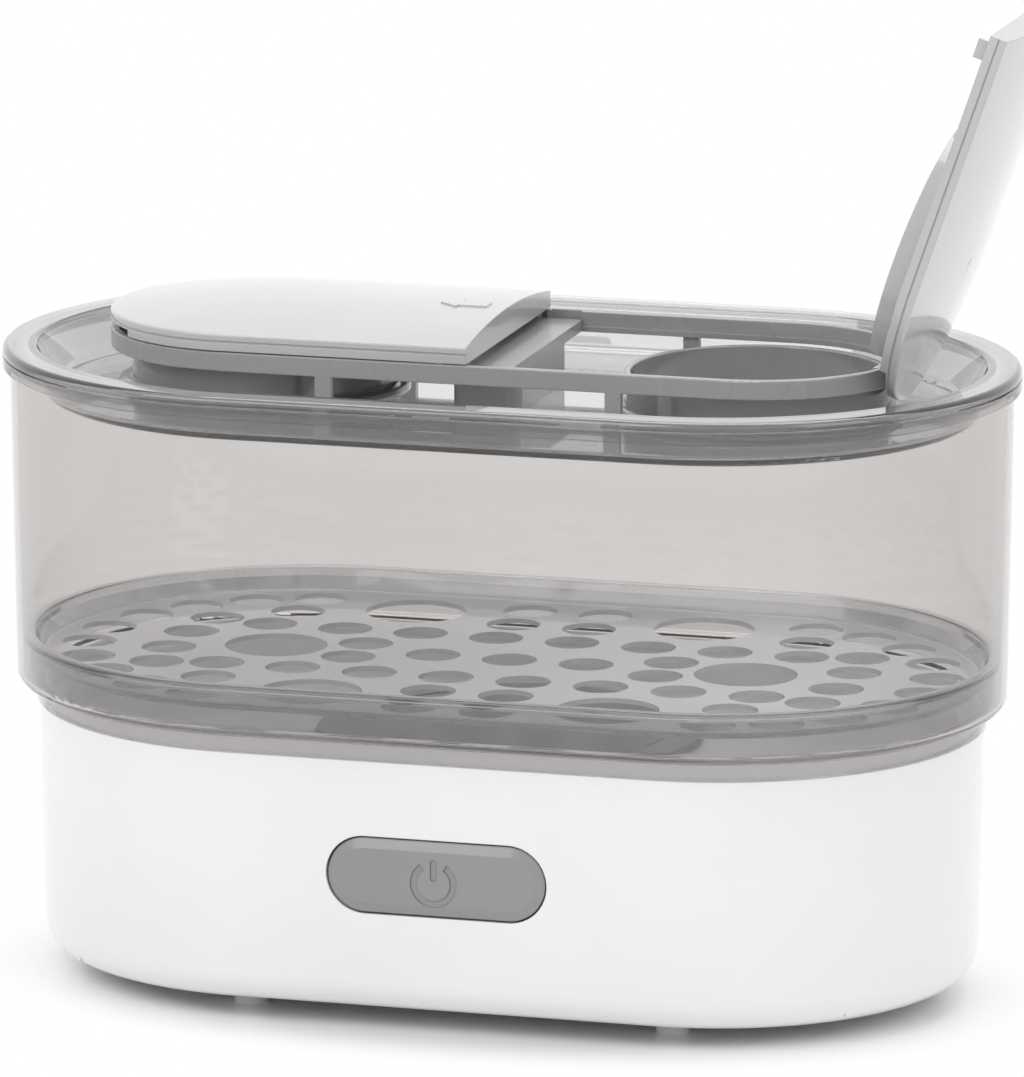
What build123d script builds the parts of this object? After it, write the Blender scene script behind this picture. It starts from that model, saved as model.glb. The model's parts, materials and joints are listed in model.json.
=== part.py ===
from build123d import *
import math
import os

os.makedirs("parts", exist_ok=True)

# Bottle sterilizer and warmer, in millimetres, +Z up, the front facing -Y.
# The origin is on the table under the middle of the base.
# The base, chamber, tray and cover share one racetrack plan: two round ends joined by
# straight sides. A radius below is measured from the centre of a round end.

# Plan shape
end_centre = 55.6            # middle of the object to the centre of each round end
port_centre = 66.3           # middle of the object to the centre of each port and lid end

# Feet and base housing
foot_height = 5.2
foot_radius = 4.8
foot_x = 56.5
foot_y = 46.0
foot_neck_radius = 2.2
base_bottom_radius = 68.4
base_draft = 1.1
base_top_radius = base_bottom_radius + base_draft
base_height = 66.4
base_round = 8.0
base_inner_round = 4.6
base_wall = 2.4
ledge_width = 5.0
bottom_rim_width = 9.9
bottom_opening_radius = base_bottom_radius - bottom_rim_width
cover_ledge_width = 2.0
cover_ledge_thickness = 2.2
bottom_cover_thickness = 2.4
boss_radius = 3.6
boss_height = 34.0
boss_inset = 5.5
boss_offset_radius = bottom_opening_radius - boss_inset
screw_radius = 1.5
screw_head_radius = 2.9
screw_head_height = 1.8
screw_length = 14.0

# Water pan and heater
spigot_inset = 1.8
spigot_radius = base_top_radius - spigot_inset
spigot_height = 5.4
pan_wall = 1.8
pan_depth = 7.6
pan_gap = 0.3
plate_radius = 50.0
plate_thickness = 1.2
pan_hole_radius = 46.0
gasket_thickness = 1.2
gasket_inset = 0.6
clamp_ring_inner_radius = 36.0
clamp_ring_thickness = 1.4
stud_circle_radius = 40.5
stud_radius = 1.5
nut_across = 5.5
nut_height = 2.4
heater_ring_radius = 28.0
heater_tube_radius = 3.2
heater_gap_angle = 44.0
heater_pin_radius = 1.1
heater_pin_length = 9.0
thermostat_radius = 8.0
thermostat_height = 7.0
bracket_length = 34.0
bracket_width = 8.0
bracket_thickness = 1.2
bracket_stud_x = 13.5
fuse_radius = 2.0
fuse_length = 11.0
fuse_y = -19.5

# Power button and control board
button_length = 57.6
button_height = 19.5
button_centre_height = 36.5
button_centre_z = foot_height + button_centre_height
button_gap = 0.5
button_bevel_width = 2.6
button_bevel_depth = 1.2
button_proud = 0.6
button_depth = 9.0
button_wall = 1.8
button_flange_width = 2.4
button_flange_thickness = 1.6
button_travel = 1.2
sleeve_wall = 1.6
sleeve_clearance = 0.2
icon_radius = 5.3
icon_line = 1.7
icon_depth = 0.4
icon_open_angle = 70.0
icon_bar_length = 5.6
icon_bar_drop = 1.75
icon_x = -0.5
icon_drop = 1.1
board_width = 84.0
board_height = 28.0
board_thickness = 1.6
board_screw_inset = 4.0
board_gap = 9.0
switch_size = 6.2
switch_height = 3.6
plunger_radius = 1.7
plunger_clearance = 0.08
plunger_depth = 2.0
led_radius = 1.5
led_height = 4.2
led_x = 9.0
relay_size = (19.0, 15.0, 15.5)
relay_x = -22.0
capacitor_radius = 5.0
capacitor_length = 16.0
capacitor_x = 8.0

# Mains inlet, terminal block and leads
gland_x = 34.0
gland_height = 16.8
gland_z = foot_height + gland_height
gland_bore_radius = 3.4
gland_body_radius = 5.4
gland_flange_radius = 7.6
gland_outer_length = 6.0
gland_inner_length = 5.0
gland_clearance = 0.1
terminal_size = (22.0, 11.0, 10.0)
terminal_y = 36.0
lead_radius = 0.9

# Chamber
chamber_overhang = 0.6
chamber_shelf_width = 5.2
chamber_draft = 1.2
chamber_flange_width = 1.9
chamber_wall = 1.6
chamber_height = 91.4
chamber_flange_height = 3.3
chamber_skirt_height = 4.6
chamber_bend = 3.7
seat_gap = 0.3
chamber_skirt_radius = base_top_radius + chamber_overhang
chamber_low_radius = chamber_skirt_radius + chamber_shelf_width
chamber_top_radius = chamber_low_radius + chamber_draft
chamber_flange_radius = chamber_top_radius + chamber_flange_width

# Tray
tray_height = 11.6
tray_clearance = 0.35
tray_wall = 1.3
tray_lip = 1.3
tray_rim_width = 3.0
tray_depth = 5.9
tray_slope = 2.4
hole_radius = 7.2
hole_web = 1.6
hole_pitch_x = 20.7
first_row_y = 23.6
hole_row_step = 16.6
paired_hole_y = 8.0
end_hole_spots = ((90.0, 9.5), (88.0, 26.5), (69.7, 39.8))
arc_hole_inset = 2.0
arc_hole_pitch = 17.2
big_hole_radius = 13.5
big_hole_x = 39.5
big_hole_y = 48.5
big_end_hole_x = 63.5

# Cover: rim ring, dish, deck and port collars
cover_ring_thickness = 2.3
cover_ring_width = 8.7
cover_edge_round = 1.6
cover_wall = 1.8
dish_depth = 11.7
dish_slope = 3.3
dish_round = 2.4
locator_height = 2.6
locator_wall = 1.2
locator_clearance = 0.4
collar_outer_radius = 34.4
collar_wall = 1.8
collar_height = 10.3
collar_flange_width = 3.7
collar_flange_thickness = 1.4
collar_spigot_width = 1.5
collar_fit = 0.15

# Lid frame
frame_port_gap = 2.2
frame_wall = 2.0
frame_lift = 10.4
frame_height = 5.1
frame_flange = 1.4
frame_radius = collar_outer_radius + frame_port_gap + frame_flange + frame_wall
bar_half_width = 9.1
bar_thickness = 3.0
pedestal_half_depth = 22.0
post_x = 38.5
post_width = 4.2
post_thickness = 2.4
peg_radius = 1.4
peg_clearance = 0.15
catch_x = 4.7
catch_length = 8.2
catch_depth = 1.1
catch_gap = 0.4

# Hinges
hinge_inset = 5.6
hinge_height = 2.5
hinge_x = port_centre + frame_radius - hinge_inset
pin_radius = 1.0
pin_clearance = 0.06
knuckle_radius = 2.1
knuckle_inner_y = 2.0
knuckle_outer_y = 8.2
ear_radius = 2.3
ear_gap = 0.6
ear_width = 4.0
lid_open_angle = 109.0

# Lids
lid_gap = 0.3
lid_side_height = 4.4
lid_crown = 3.2
lid_round = 0.7
lid_wall = 1.6
lid_step = 0.3
free_edge_gap = 0.25
hinge_notch_half = 28.2
hinge_notch_height = 1.8
tab_length = 5.0
tab_drop = 2.8
tab_thickness = 1.0
plug_inset = 0.4
plug_radius = collar_outer_radius - plug_inset
plug_wall = 1.6
plug_gap = 0.3
plug_flat_inset = 7.7
plug_flat_x = port_centre + plug_radius - plug_flat_inset
liner_thickness = 1.2
liner_clearance = 0.3
liner_overrun = 0.6
liner_end_x = plug_flat_x + liner_overrun
arrow_length = 13.1
arrow_head_length = 5.4
arrow_head_width = 8.8
arrow_shaft_width = 5.4
arrow_height = 0.4
arrow_centre_x = 12.0

# Heights that follow from the sizes above
base_top_z = foot_height + base_height
cover_top_z = foot_height + bottom_cover_thickness
pan_floor_z = base_top_z - pan_depth
plate_bottom_z = pan_floor_z + gasket_thickness
chamber_rim_z = base_top_z + seat_gap + chamber_height
shelf_bottom_z = base_top_z + seat_gap + chamber_skirt_height
shelf_top_z = shelf_bottom_z + chamber_wall
tray_rim_z = shelf_top_z + seat_gap + tray_height
ring_bottom_z = chamber_rim_z + seat_gap
ring_top_z = ring_bottom_z + cover_ring_thickness
deck_top_z = ring_top_z - dish_depth
deck_bottom_z = deck_top_z - cover_wall
collar_top_z = deck_top_z + collar_height
frame_bottom_z = deck_top_z + frame_lift
frame_top_z = frame_bottom_z + frame_height
hinge_z = frame_bottom_z + hinge_height
lid_bottom_z = frame_top_z + lid_gap
lid_side_z = lid_bottom_z + lid_side_height
lid_top_z = lid_side_z + lid_crown
plug_bottom_z = collar_top_z + plug_gap
button_front_y = -(base_top_radius + button_proud - 0.4)
sleeve_end_y = button_front_y + button_depth - button_flange_thickness - sleeve_clearance
board_front_y = button_front_y + button_depth + board_gap
board_back_y = board_front_y + board_thickness
board_screw_x = board_width / 2 - board_screw_inset


def save(part, node):
    export_step(part, f"parts/{node}.step")


def outline(*corners):
    # A closed face through (across, up) corners; a third number rounds that corner.
    rounds = [corner[2] if len(corner) > 2 else 0 for corner in corners]
    points = [(corner[0], corner[1]) for corner in corners]
    return make_face(FilletPolyline(*points, radius=rounds, close=True))


def section_plane(centre):
    # Plane of a wall's cross-section at a round end: across is -Y, up is +Z.
    return Plane(origin=(centre, 0, 0), x_dir=(0, -1, 0), z_dir=(-1, 0, 0))


def round_end(section, centre):
    return revolve(section_plane(centre) * section, Axis((centre, 0, 0), (0, 0, 1)), 180)


def racetrack(section, centre=end_centre):
    # The section carried round the whole racetrack.
    half = round_end(section, centre) + extrude(section_plane(centre) * section, 2 * centre)
    return half + Rot(0, 0, 180) * half


def half_racetrack(section, centre, start_x):
    # The section carried round one end and along both sides, from start_x outwards.
    run = extrude(section_plane(centre) * section, centre - start_x)
    return round_end(section, centre) + run + mirror(run, Plane.XZ)


def slab(radius, bottom, top, centre=end_centre):
    # A racetrack plate.
    return racetrack(outline((0, bottom), (radius, bottom), (radius, top), (0, top)), centre)


def ring(inner, outer, bottom, top, x=0.0, y=0.0):
    part = Cylinder(outer, top - bottom, align=(Align.CENTER, Align.CENTER, Align.MIN))
    part -= Cylinder(inner, top - bottom, align=(Align.CENTER, Align.CENTER, Align.MIN))
    return Pos(x, y, bottom) * part


def post(radius, bottom, top, x=0.0, y=0.0):
    part = Cylinder(radius, top - bottom, align=(Align.CENTER, Align.CENTER, Align.MIN))
    return Pos(x, y, bottom) * part


def block(x0, x1, y0, y1, z0, z1):
    return Pos((x0 + x1) / 2, (y0 + y1) / 2, (z0 + z1) / 2) * Box(x1 - x0, y1 - y0, z1 - z0)


def bar_y(radius, y0, y1, x, z):
    # A round bar along Y.
    return Pos(x, (y0 + y1) / 2, z) * Rot(90, 0, 0) * Cylinder(radius, y1 - y0)


def pill_y(length, height, y0, y1, z):
    # A bar along Y with round ends in the front view.
    face = Plane(origin=(0, y0, z), x_dir=(1, 0, 0), z_dir=(0, 1, 0)) * SlotOverall(length, height)
    return extrude(face, y1 - y0)


def four(x, y):
    return [(x, y), (-x, y), (-x, -y), (x, -y)]


def opened(part):
    # The right lid swung open about its hinge pin.
    hinge = Pos(hinge_x, 0, hinge_z)
    return hinge * Rot(0, lid_open_angle, 0) * hinge.inverse() * part


def to_left(part):
    return Rot(0, 0, 180) * part


# Base housing
def make_base_housing():
    inner_low = base_bottom_radius - base_wall
    inner_top = base_top_radius - base_wall
    ledge_in = base_top_radius - ledge_width
    lip_in = bottom_opening_radius - cover_ledge_width
    lip_top = cover_top_z + cover_ledge_thickness
    shell = racetrack(outline(
        (bottom_opening_radius, foot_height),
        (base_bottom_radius, foot_height, base_round),
        (base_top_radius, base_top_z),
        (ledge_in, base_top_z),
        (ledge_in, base_top_z - base_wall),
        (inner_top, base_top_z - base_wall),
        (inner_low, cover_top_z, base_inner_round),
        (bottom_opening_radius + base_wall, cover_top_z),
        (bottom_opening_radius + base_wall, lip_top),
        (lip_in, lip_top),
        (lip_in, cover_top_z),
        (bottom_opening_radius, cover_top_z),
    ))
    # Pocket and guide sleeve of the power button
    hole_length = button_length + 2 * button_gap
    hole_height = button_height + 2 * button_gap
    front_y = -(base_top_radius + base_wall)
    wall_inside_y = -(base_bottom_radius - base_wall)
    sleeve = pill_y(hole_length + 2 * sleeve_wall, hole_height + 2 * sleeve_wall,
                    wall_inside_y - base_wall / 2, sleeve_end_y, button_centre_z)
    shell += sleeve
    # Bosses that carry the control board
    for x in (-board_screw_x, board_screw_x):
        shell += bar_y(boss_radius, wall_inside_y - base_wall / 2, board_front_y, x, button_centre_z)
    shell -= pill_y(hole_length, hole_height, front_y, board_front_y, button_centre_z)
    for x in (-board_screw_x, board_screw_x):
        shell -= bar_y(screw_radius, board_front_y - screw_length, board_front_y, x, button_centre_z)
    # Screw bosses for the bottom cover, each with a rib to the side wall
    for x, y in boss_places():
        boss = post(boss_radius, cover_top_z, cover_top_z + boss_height, x, y)
        boss -= post(screw_radius, cover_top_z, cover_top_z + screw_length, x, y)
        shell += boss
        reach = inner_low - boss_offset_radius + base_wall / 2
        start = boss_radius - 0.6
        rib = Pos((start + reach) / 2, 0, 0) * Box(reach - start, base_wall / 2, boss_height)
        turn = math.degrees(math.atan2(y, abs(x) - end_centre))
        if x < 0:
            turn = 180 - turn
        shell += Pos(x, y, cover_top_z + boss_height / 2) * Rot(0, 0, turn) * rib
    # Hole for the mains inlet
    hole_radius_back = gland_body_radius + gland_clearance
    shell -= bar_y(hole_radius_back, wall_inside_y * -1 - base_wall, base_top_radius + base_wall,
                   gland_x, gland_z)
    return shell


def boss_places():
    reach = boss_offset_radius * math.sqrt(0.5)
    return four(end_centre + reach, reach)


def make_bottom_cover():
    plate = slab(bottom_opening_radius - pan_gap, foot_height, cover_top_z)
    for x, y in four(foot_x, foot_y):
        plate -= post(foot_neck_radius + 0.1, foot_height, cover_top_z, x, y)
    for x, y in boss_places():
        plate -= post(screw_radius + 0.2, foot_height, cover_top_z, x, y)
        plate -= post(screw_head_radius + 0.3, foot_height, foot_height + screw_head_height - 0.6, x, y)
    # Cooling and drain slots
    slot_count = 7
    slot_pitch = 7.0
    for i in range(slot_count):
        x = (i - (slot_count - 1) / 2) * slot_pitch
        cut = extrude(Pos(x, 0, foot_height) * SlotOverall(26, 2.2, rotation=90), bottom_cover_thickness)
        plate -= cut
    return plate


def make_foot(x, y):
    foot = Cone(foot_radius - 0.5, foot_radius, foot_height, align=(Align.CENTER, Align.CENTER, Align.MIN))
    foot = Pos(x, y, 0) * foot
    head_height = 1.2
    foot += post(foot_neck_radius, foot_height, cover_top_z + head_height, x, y)
    foot += post(foot_neck_radius + 0.7, cover_top_z, cover_top_z + head_height, x, y)
    return foot


def make_bottom_screws():
    screws = []
    head_top = foot_height + screw_head_height - 0.6
    for x, y in boss_places():
        screw = post(screw_head_radius, head_top - screw_head_height + 0.6, head_top, x, y)
        screw += post(screw_radius, head_top, head_top + screw_length - 4.0, x, y)
        drive = Pos(x, y, head_top - screw_head_height + 0.6) * Box(3.4, 0.8, 1.0)
        drive += Pos(x, y, head_top - screw_head_height + 0.6) * Box(0.8, 3.4, 1.0)
        screws.append(screw - drive)
    return Compound(children=[s.solids()[0] for s in screws])


# Water pan and heater
def make_water_pan():
    ledge_in = base_top_radius - ledge_width
    wall_out = ledge_in - pan_gap
    wall_in = wall_out - pan_wall
    spigot_in = spigot_radius - pan_wall
    floor_low = pan_floor_z - pan_wall
    pan = racetrack(outline(
        (0, floor_low),
        (wall_out, floor_low, pan_wall),
        (wall_out, base_top_z),
        (spigot_radius, base_top_z),
        (spigot_radius, base_top_z + spigot_height, 0.6),
        (spigot_in, base_top_z + spigot_height, 0.6),
        (spigot_in, base_top_z + pan_wall),
        (wall_in, base_top_z + pan_wall - 0.9),
        (wall_in, pan_floor_z, 1.2),
        (0, pan_floor_z),
    ))
    return pan - post(pan_hole_radius, floor_low - 1, pan_floor_z + 1)


def make_plate_gasket():
    return ring(pan_hole_radius, plate_radius + gasket_inset, pan_floor_z, plate_bottom_z)


def stud_places():
    return [(stud_circle_radius * math.cos(math.radians(a)), stud_circle_radius * math.sin(math.radians(a)))
            for a in (45, 135, 225, 315)]


def make_heating_plate():
    top = plate_bottom_z + plate_thickness
    plate = post(plate_radius, plate_bottom_z, top)
    plate = fillet(plate.edges().group_by(Axis.Z)[-1], plate_thickness * 0.45)
    # Shallow pressed step near the edge
    step_radius = plate_radius - 7.0
    plate -= ring(step_radius - 1.6, step_radius, top - 0.35, top)
    stud_end = pan_floor_z - pan_wall - clamp_ring_thickness - nut_height - 0.8
    for x, y in stud_places():
        plate += post(stud_radius, stud_end, plate_bottom_z, x, y)
    for x in (-bracket_stud_x, bracket_stud_x):
        plate += post(stud_radius, plate_bottom_z - thermostat_height - bracket_thickness - nut_height - 0.8,
                      plate_bottom_z, x, 0)
    return plate


def make_clamp_ring():
    top = pan_floor_z - pan_wall
    part = ring(clamp_ring_inner_radius, plate_radius, top - clamp_ring_thickness, top)
    for x, y in stud_places():
        part -= post(stud_radius + 0.2, top - clamp_ring_thickness, top, x, y)
    return part


def nut(x, y, top):
    body = extrude(Pos(x, y, top - nut_height) * RegularPolygon(nut_across / math.sqrt(3), 6), nut_height)
    return body - post(stud_radius, top - nut_height, top, x, y)


def make_plate_nuts():
    top = pan_floor_z - pan_wall - clamp_ring_thickness
    return Compound(children=[nut(x, y, top).solids()[0] for x, y in stud_places()])


def make_heater_element():
    # A tubular ring pressed against the underside of the plate, open at the back for its pins.
    centre_z = plate_bottom_z - heater_tube_radius
    start = 90 + heater_gap_angle / 2
    profile = Plane(origin=(heater_ring_radius, 0, centre_z), x_dir=(1, 0, 0), z_dir=(0, -1, 0)) \
        * Circle(heater_tube_radius)
    tube = Rot(0, 0, start) * revolve(profile, Axis((0, 0, 0), (0, 0, 1)), 360 - heater_gap_angle)
    for x, y in heater_pins():
        tube += post(heater_pin_radius, centre_z - heater_pin_length, centre_z, x, y)
    return tube


def heater_pins():
    places = []
    for side in (-1, 1):
        turn = math.radians(90 + side * heater_gap_angle / 2)
        x = heater_ring_radius * math.cos(turn)
        y = heater_ring_radius * math.sin(turn)
        x += side * 2.2 * math.cos(turn + math.pi / 2)
        y += side * 2.2 * math.sin(turn + math.pi / 2)
        places.append((x, y))
    return places


def make_thermostat():
    top = plate_bottom_z
    body = post(thermostat_radius, top - 1.6, top)
    body += post(thermostat_radius - 0.8, top - thermostat_height, top - 1.6)
    for x in (-3.5, 3.5):
        body += block(x - 0.4, x + 0.4, -10.5, -5.5, top - thermostat_height + 1.2, top - thermostat_height + 4.4)
    return body


def make_thermostat_bracket():
    top = plate_bottom_z - thermostat_height
    bar = extrude(Pos(0, 0, top - bracket_thickness) * SlotOverall(bracket_length, bracket_width),
                  bracket_thickness)
    for x in (-bracket_stud_x, bracket_stud_x):
        bar -= post(stud_radius + 0.2, top - bracket_thickness, top, x, 0)
    return bar


def make_bracket_nuts():
    top = plate_bottom_z - thermostat_height - bracket_thickness
    return Compound(children=[nut(x, 0, top).solids()[0] for x in (-bracket_stud_x, bracket_stud_x)])


def make_thermal_fuse():
    centre_z = plate_bottom_z - fuse_radius
    body = Pos(0, fuse_y, centre_z) * Rot(0, 90, 0) * Cylinder(fuse_radius, fuse_length)
    body += Pos(0, fuse_y, centre_z) * Rot(0, 90, 0) * Cylinder(0.5, fuse_length + 8)
    return body


# Power button and control board
def make_power_button():
    back_y = button_front_y + button_depth
    flange_y = back_y - button_flange_thickness
    cap = pill_y(button_length, button_height, button_front_y, back_y, button_centre_z)
    front = cap.faces().sort_by(Axis.Y)[0]
    cap = chamfer(front.edges(), button_bevel_width, button_bevel_depth, reference=front)
    flange = pill_y(button_length + 2 * button_flange_width, button_height + 2 * button_flange_width,
                    flange_y, back_y, button_centre_z)
    cap += flange
    cap -= pill_y(button_length - 2 * button_wall, button_height - 2 * button_wall,
                  button_front_y + button_wall + button_bevel_depth / 2, back_y, button_centre_z)
    # Pusher in the middle
    cap += bar_y(3.0, button_front_y + button_wall, back_y, 0, button_centre_z)
    # Power sign, sunk into the face
    face = Plane(origin=(icon_x, button_front_y, button_centre_z - icon_drop), x_dir=(1, 0, 0),
                 z_dir=(0, -1, 0))
    open_half = icon_open_angle / 2
    arc = CenterArc((0, 0), icon_radius, 90 + open_half, 360 - icon_open_angle)
    sign = trace(arc, icon_line)
    sign += Pos(0, icon_radius - icon_bar_drop) * SlotOverall(icon_bar_length, icon_line, rotation=90)
    cap -= extrude(face * sign, -icon_depth)
    return cap


def make_control_board():
    board = block(-board_width / 2, board_width / 2, board_front_y, board_back_y,
                  button_centre_z - board_height / 2, button_centre_z + board_height / 2)
    for x in (-board_screw_x, board_screw_x):
        board -= bar_y(screw_radius + 0.15, board_front_y, board_back_y, x, button_centre_z)
    return board


def make_board_screws():
    screws = []
    for x in (-board_screw_x, board_screw_x):
        screw = bar_y(screw_head_radius, board_back_y, board_back_y + screw_head_height, x, button_centre_z)
        screw += bar_y(screw_radius, board_front_y - 8.0, board_back_y, x, button_centre_z)
        screw -= bar_y(0.9, board_back_y + 0.8, board_back_y + screw_head_height, x, button_centre_z)
        screws.append(screw)
    return Compound(children=[s.solids()[0] for s in screws])


def make_tact_switch():
    half = switch_size / 2
    body = block(-half, half, board_front_y - switch_height, board_front_y,
                 button_centre_z - half, button_centre_z + half)
    bore_end = board_front_y - switch_height + plunger_depth + button_travel + 0.1
    body -= bar_y(plunger_radius + plunger_clearance, board_front_y - switch_height, bore_end,
                  0, button_centre_z)
    return body


def make_switch_plunger():
    front_y = button_front_y + button_depth
    return bar_y(plunger_radius, front_y, board_front_y - switch_height + plunger_depth, 0, button_centre_z)


def make_indicator_led():
    body = bar_y(led_radius, board_front_y - led_height, board_front_y, led_x, button_centre_z)
    body += bar_y(led_radius + 0.4, board_front_y - 0.9, board_front_y, led_x, button_centre_z)
    return body


def make_relay():
    width, depth, height = relay_size
    part = block(relay_x - width / 2, relay_x + width / 2, board_back_y, board_back_y + depth,
                 button_centre_z - height / 2, button_centre_z + height / 2)
    return fillet(part.edges().group_by(Axis.Y)[-1], 0.8)


def make_capacitor():
    half = capacitor_length / 2
    centre_y = board_back_y + capacitor_radius
    part = Pos(capacitor_x, centre_y, button_centre_z) * Rot(0, 90, 0) * Cylinder(capacitor_radius, 2 * half)
    return fillet(part.edges(), 0.7)


# Mains inlet
def make_cord_gland():
    wall_y = base_bottom_radius + (base_top_radius - base_bottom_radius) * gland_z / base_height
    inside_y = wall_y - base_wall
    gland = bar_y(gland_body_radius, inside_y - gland_inner_length, wall_y + 0.5, gland_x, gland_z)
    gland += bar_y(gland_flange_radius, wall_y + 0.3, wall_y + 2.3, gland_x, gland_z)
    nose = Cone(gland_flange_radius - 1.0, gland_bore_radius + 1.4, gland_outer_length)
    gland += Pos(gland_x, wall_y + 2.3 + gland_outer_length / 2, gland_z) * Rot(-90, 0, 0) * nose
    gland -= bar_y(gland_bore_radius, inside_y - gland_inner_length - 1,
                   wall_y + gland_outer_length + 4, gland_x, gland_z)
    return gland


def make_gland_nut():
    wall_y = base_bottom_radius + (base_top_radius - base_bottom_radius) * gland_z / base_height
    inside_y = wall_y - base_wall - 0.6
    face = Plane(origin=(gland_x, inside_y, gland_z), x_dir=(1, 0, 0), z_dir=(0, -1, 0))
    part = extrude(face * RegularPolygon(gland_flange_radius + 0.6, 6), 3.0)
    return part - bar_y(gland_body_radius, inside_y - 4, inside_y + 1, gland_x, gland_z)


def make_terminal_block():
    width, depth, height = terminal_size
    part = block(gland_x - width / 2, gland_x + width / 2, terminal_y - depth / 2, terminal_y + depth / 2,
                 cover_top_z, cover_top_z + height)
    for i in (-1, 0, 1):
        x = gland_x + i * width / 3.3
        part -= post(1.9, cover_top_z + height - 2.4, cover_top_z + height, x, terminal_y)
        part -= bar_y(1.3, terminal_y - depth / 2, terminal_y - depth / 2 + 3.5, x, cover_top_z + height * 0.45)
        part -= bar_y(2.2, terminal_y + depth / 2 - 4, terminal_y + depth / 2, x, cover_top_z + height * 0.45)
    return part


# Leads: straight runs joined by the largest arcs that the runs allow
def lead(points, radius=lead_radius):
    corners = [Vector(*p) for p in points]
    rounds = []
    for before, here, after in zip(corners, corners[1:], corners[2:]):
        turn = math.radians((here - before).get_angle(after - here))
        run = min((here - before).length, (after - here).length)
        rounds.append(0.45 * run / math.tan(turn / 2))
    path = FilletPolyline(*points, radius=rounds)
    start = Plane(origin=path @ 0, z_dir=path % 0)
    return sweep(start * Circle(radius), path)


def make_leads():
    # Mains to board, board to heater, and board to heater through thermostat and fuse.
    mouth_y = terminal_y - terminal_size[1] / 2
    mouth_z = cover_top_z + terminal_size[2] * 0.45
    pitch = terminal_size[0] / 3.3
    board_z = button_centre_z - board_height / 2 + 3.5
    pins = heater_pins()
    pin_z = plate_bottom_z - heater_tube_radius - heater_pin_length
    tab_z = plate_bottom_z - thermostat_height + 2.4
    fuse_z = plate_bottom_z - fuse_radius
    fuse_end = fuse_length / 2 + 4.0
    leads = {}
    for name, side in (("lead_live", -1), ("lead_neutral", 1)):
        x = gland_x + side * pitch
        end_x = 26.0 + side * 5.0
        leads[name] = lead([
            (x, mouth_y + 2.0, mouth_z),
            (x, mouth_y - 12.0, mouth_z),
            (x - 3.0, 2.0, mouth_z + 2.0 + side),
            (end_x + 1.0, -18.0, mouth_z + 4.0 + side),
            (end_x, board_back_y + 12.0, board_z),
            (end_x, board_back_y, board_z),
        ])
    right_x, right_y = pins[0]
    leads["lead_heater"] = lead([
        (right_x, right_y, pin_z),
        (right_x, right_y, pin_z - 13.0),
        (right_x - 1.0, 4.0, board_z + 3.0),
        (4.0, board_back_y + 14.0, board_z),
        (4.0, board_back_y, board_z),
    ])
    leads["lead_thermostat"] = lead([
        (-3.5, -10.5, tab_z),
        (-3.5, -14.5, tab_z),
        (-5.0, -17.0, tab_z - 12.0),
        (-8.0, board_back_y + 12.0, board_z),
        (-8.0, board_back_y, board_z),
    ])
    leads["lead_fuse"] = lead([
        (3.5, -10.5, tab_z),
        (3.5, -14.0, tab_z),
        (12.5, -14.0, tab_z),
        (12.5, fuse_y, fuse_z),
        (fuse_end, fuse_y, fuse_z),
    ])
    left_x, left_y = pins[1]
    leads["lead_return"] = lead([
        (-fuse_end, fuse_y, fuse_z),
        (-fuse_end - 4.0, fuse_y, fuse_z),
        (-fuse_end - 7.0, -10.0, pin_z + 1.0),
        (left_x, left_y - 4.0, pin_z - 7.0),
        (left_x, left_y, pin_z - 5.0),
        (left_x, left_y, pin_z),
    ])
    return leads


# Chamber
def chamber_inner(z):
    # Inner radius of the chamber wall at a height.
    share = (z - shelf_bottom_z) / (chamber_rim_z - shelf_bottom_z)
    return chamber_low_radius + (chamber_top_radius - chamber_low_radius) * share - chamber_wall


def make_chamber():
    low = base_top_z + seat_gap
    skirt_in = chamber_skirt_radius - chamber_wall
    flange_low = chamber_rim_z - chamber_flange_height
    return racetrack(outline(
        (skirt_in, low),
        (chamber_skirt_radius, low),
        (chamber_skirt_radius, shelf_bottom_z, 0.8),
        (chamber_low_radius, shelf_bottom_z, chamber_bend),
        (chamber_top_radius - 0.03, flange_low),
        (chamber_flange_radius, flange_low, 0.5),
        (chamber_flange_radius, chamber_rim_z, 0.3),
        (chamber_top_radius - chamber_wall, chamber_rim_z),
        (chamber_low_radius - chamber_wall, shelf_top_z, chamber_bend - chamber_wall),
        (skirt_in, shelf_top_z, 0.5),
    ))


# Tray
def tray_rim_radius():
    return chamber_inner(tray_rim_z) - tray_clearance


def make_tray():
    rim = tray_rim_radius()
    skirt_out = rim - tray_lip
    skirt_in = skirt_out - tray_wall
    top_in = rim - tray_rim_width
    floor_top = tray_rim_z - tray_depth
    floor_out = top_in - tray_slope
    under = tray_rim_z - tray_wall
    foot_out = floor_out + tray_wall * 0.7
    meet_z = floor_top - tray_wall + (skirt_in - foot_out) * tray_depth / tray_slope
    tray = racetrack(outline(
        (0, floor_top - tray_wall),
        (foot_out, floor_top - tray_wall, 1.2),
        (skirt_in, meet_z),
        (skirt_in, shelf_top_z + seat_gap),
        (skirt_out, shelf_top_z + seat_gap),
        (skirt_out, under),
        (rim, under),
        (rim, tray_rim_z, 0.5),
        (top_in, tray_rim_z, 0.8),
        (floor_out, floor_top, 1.6),
        (0, floor_top),
    ))
    big = four(big_hole_x, big_hole_y)
    big += [(big_end_hole_x, 0), (-big_end_hole_x, 0)]
    small = small_hole_spots(floor_out - hole_radius - hole_web - arc_hole_inset)
    cuts = [post(big_hole_radius, floor_top - 4, floor_top + 1, x, y) for x, y in big]
    cuts += [post(hole_radius, floor_top - 4, floor_top + 1, x, y) for x, y in small]
    return tray - cuts


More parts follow.
